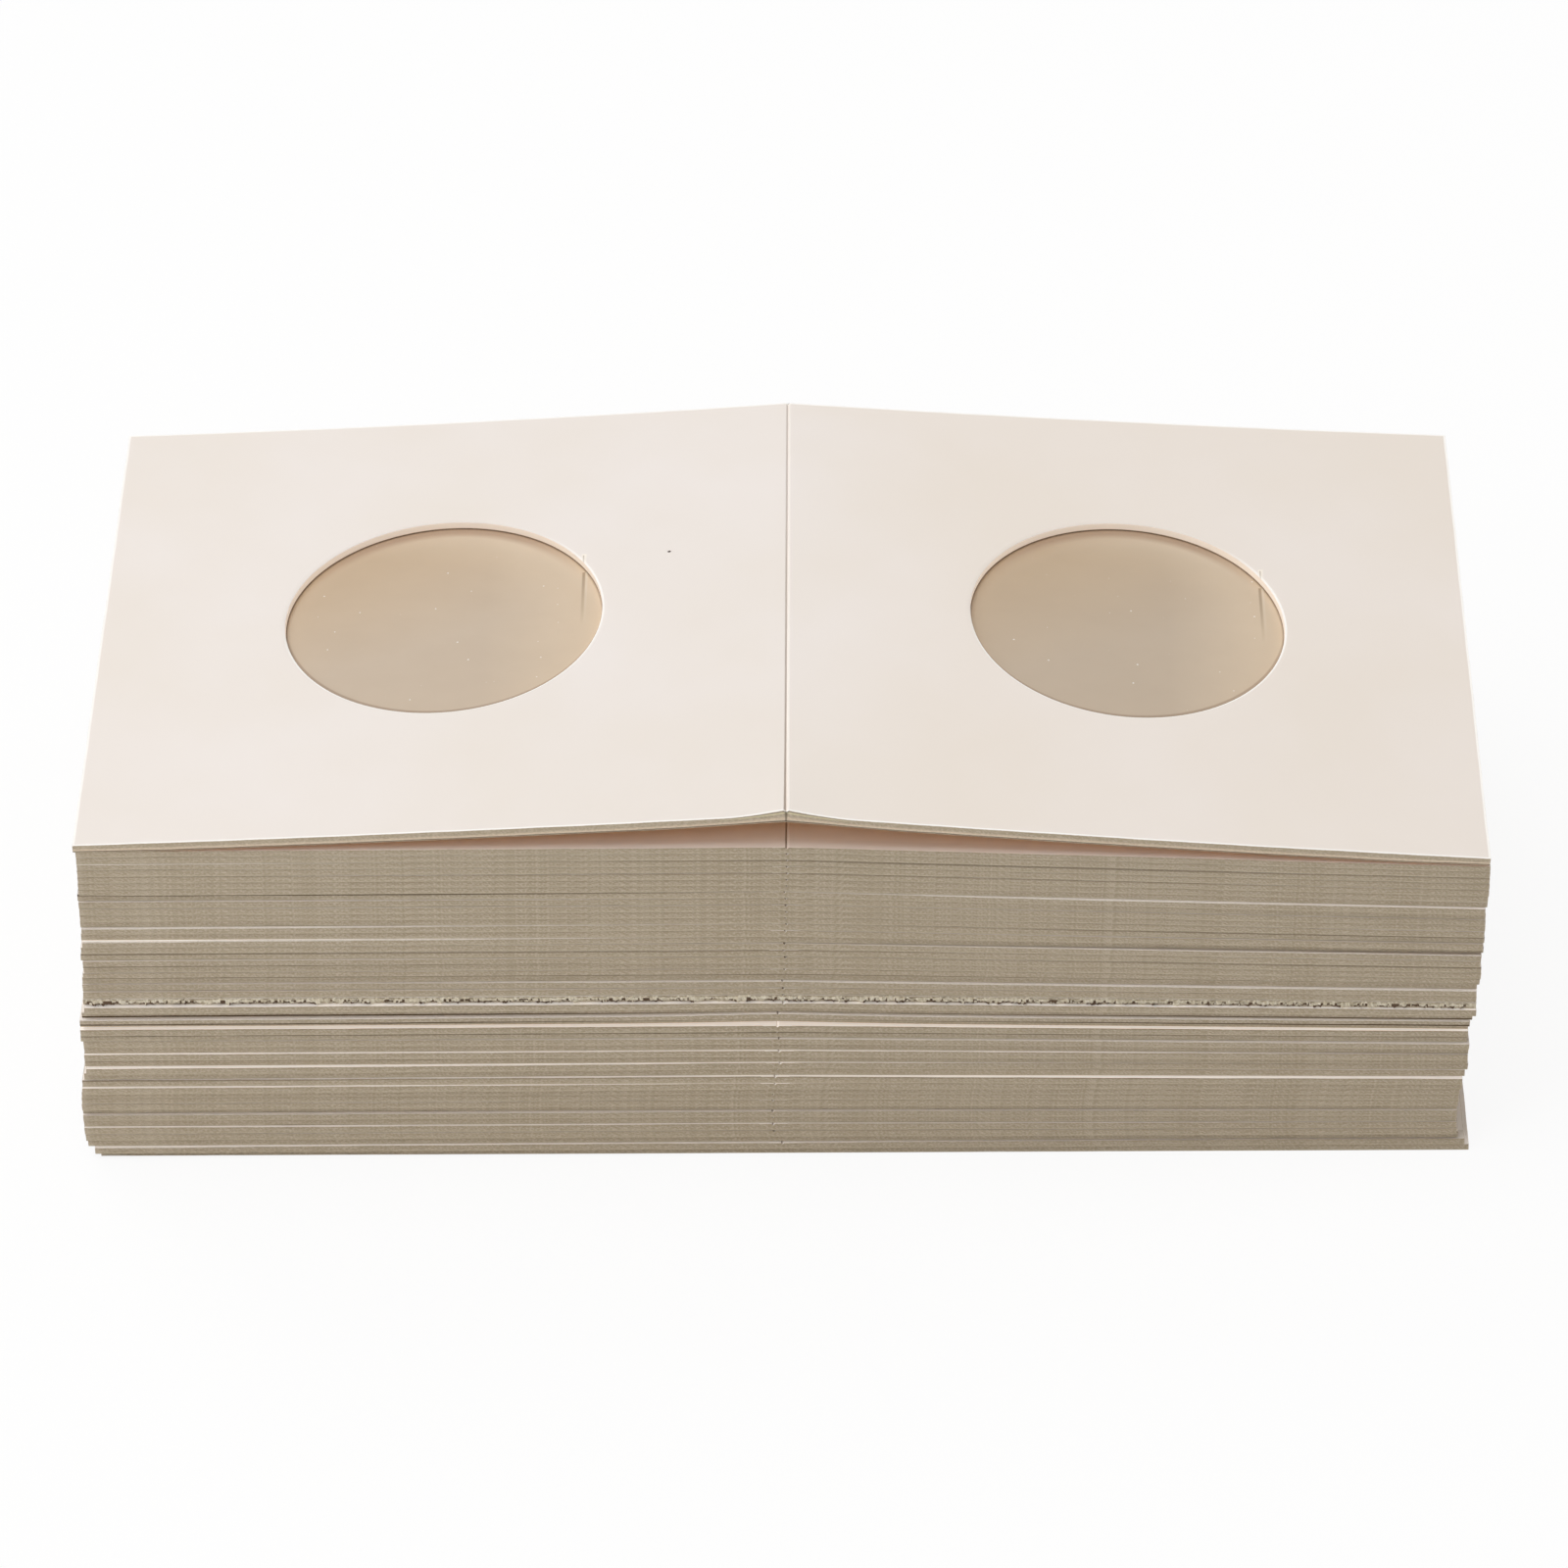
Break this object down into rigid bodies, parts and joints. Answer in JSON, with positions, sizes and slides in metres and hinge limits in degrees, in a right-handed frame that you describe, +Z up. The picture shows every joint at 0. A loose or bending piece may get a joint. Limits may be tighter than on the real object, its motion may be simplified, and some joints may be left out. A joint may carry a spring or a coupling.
{
  "type": "coin holder flip",
  "caption": "Pack of open square cardboard coin holder flips with round film-backed windows and scored creases, the top one folding at its crease.",
  "frame": {"origin": "on the resting face, under the crease of the upright pack and midway between its front and back edges", "axes": "+X along the open flips to the right, across the crease; +Y to the back, along the crease; +Z up"},
  "size_m": [0.103, 0.0515, 0.0323],
  "materials": {
    "board": "matte",
    "film": "gloss"
  },
  "bodies": {
    "bundle_1": {"flip_01_card": "board", "flip_02_card": "board", "flip_03_card": "board", "flip_04_card": "board", "flip_05_card": "board", "flip_06_card": "board", "flip_07_card": "board", "flip_08_card": "board", "flip_09_card": "board", "flip_10_card": "board", "flip_11_card": "board", "flip_12_card": "board", "flip_13_card": "board", "bundle_1_films": "film"},
    "bundle_2": {"flip_14_card": "board", "flip_15_card": "board", "flip_16_card": "board", "flip_17_card": "board", "flip_18_card": "board", "flip_19_card": "board", "flip_20_card": "board", "flip_21_card": "board", "bundle_2_films": "film"},
    "bundle_3": {"flip_22_card": "board", "flip_23_card": "board", "flip_24_card": "board", "flip_25_card": "board", "bundle_3_films": "film"},
    "bundle_4": {"flip_26_card": "board", "flip_27_card": "board", "flip_28_card": "board", "flip_29_card": "board", "flip_30_card": "board", "flip_31_card": "board", "flip_32_card": "board", "flip_33_card": "board", "flip_34_card": "board", "flip_35_card": "board", "bundle_4_films": "film"},
    "bundle_5": {"flip_36_card": "board", "flip_37_card": "board", "flip_38_card": "board", "flip_39_card": "board", "flip_40_card": "board", "flip_41_card": "board", "flip_42_card": "board", "bundle_5_films": "film"},
    "bundle_6": {"flip_43_card": "board", "flip_44_card": "board", "flip_45_card": "board", "flip_46_card": "board", "flip_47_card": "board", "flip_48_card": "board", "flip_49_card": "board", "bundle_6_films": "film"},
    "top_left_leaf": {"top_left_card": "board", "top_left_film": "film"},
    "top_right_leaf": {"top_right_card": "board", "top_right_film": "film"}
  },
  "joints": [
    {"name": "bundle_2_lift", "type": "slide", "parent": "bundle_1", "child": "bundle_2", "axis": [0, 0, 1], "range_m": [0, 0.03]},
    {"name": "bundle_3_lift", "type": "slide", "parent": "bundle_2", "child": "bundle_3", "axis": [0, 0, 1], "range_m": [0, 0.03]},
    {"name": "bundle_4_lift", "type": "slide", "parent": "bundle_3", "child": "bundle_4", "axis": [0, 0, 1], "range_m": [0, 0.03]},
    {"name": "bundle_5_lift", "type": "slide", "parent": "bundle_4", "child": "bundle_5", "axis": [0, 0, 1], "range_m": [0, 0.03]},
    {"name": "bundle_6_lift", "type": "slide", "parent": "bundle_5", "child": "bundle_6", "axis": [0, 0, 1], "range_m": [0, 0.03]},
    {"name": "tent_rise", "type": "hinge", "parent": "bundle_6", "child": "top_left_leaf", "pos_m": [-0.05075, 0, 0.02952], "axis": [0, -1, 0], "range_deg": [0, 87.5]},
    {"name": "crease_fold", "type": "hinge", "parent": "top_left_leaf", "child": "top_right_leaf", "pos_m": [0, 0, 0.03179], "axis": [0, 1, 0], "range_deg": [0, 171]}
  ],
  "couplings": [
    {"joint": "crease_fold", "follows": "tent_rise", "ratio": 1.95}
  ]
}
